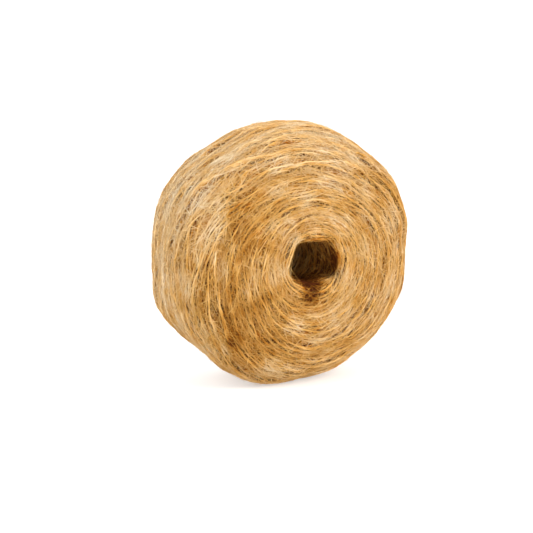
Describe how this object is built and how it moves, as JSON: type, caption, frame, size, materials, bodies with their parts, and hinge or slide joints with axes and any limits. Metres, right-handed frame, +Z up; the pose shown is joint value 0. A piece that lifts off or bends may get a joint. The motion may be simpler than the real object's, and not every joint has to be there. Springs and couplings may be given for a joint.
{
  "type": "roll of esparto cord",
  "caption": "Squat barrel-shaped roll of rough hairy natural cord, wound around an open centre hole and lying on its side.",
  "frame": {"origin": "on the ground, under the middle of the roll's outline", "axes": "+Z up; the winding axis lies along Y, and the front mouth of the centre hole faces -Y"},
  "size_m": [0.163, 0.0918, 0.1604],
  "materials": {
    "cord": "matt, hairy, straw-gold plant fibre"
  },
  "bodies": {
    "root": {"wound_cord": "cord"}
  },
  "joints": []
}
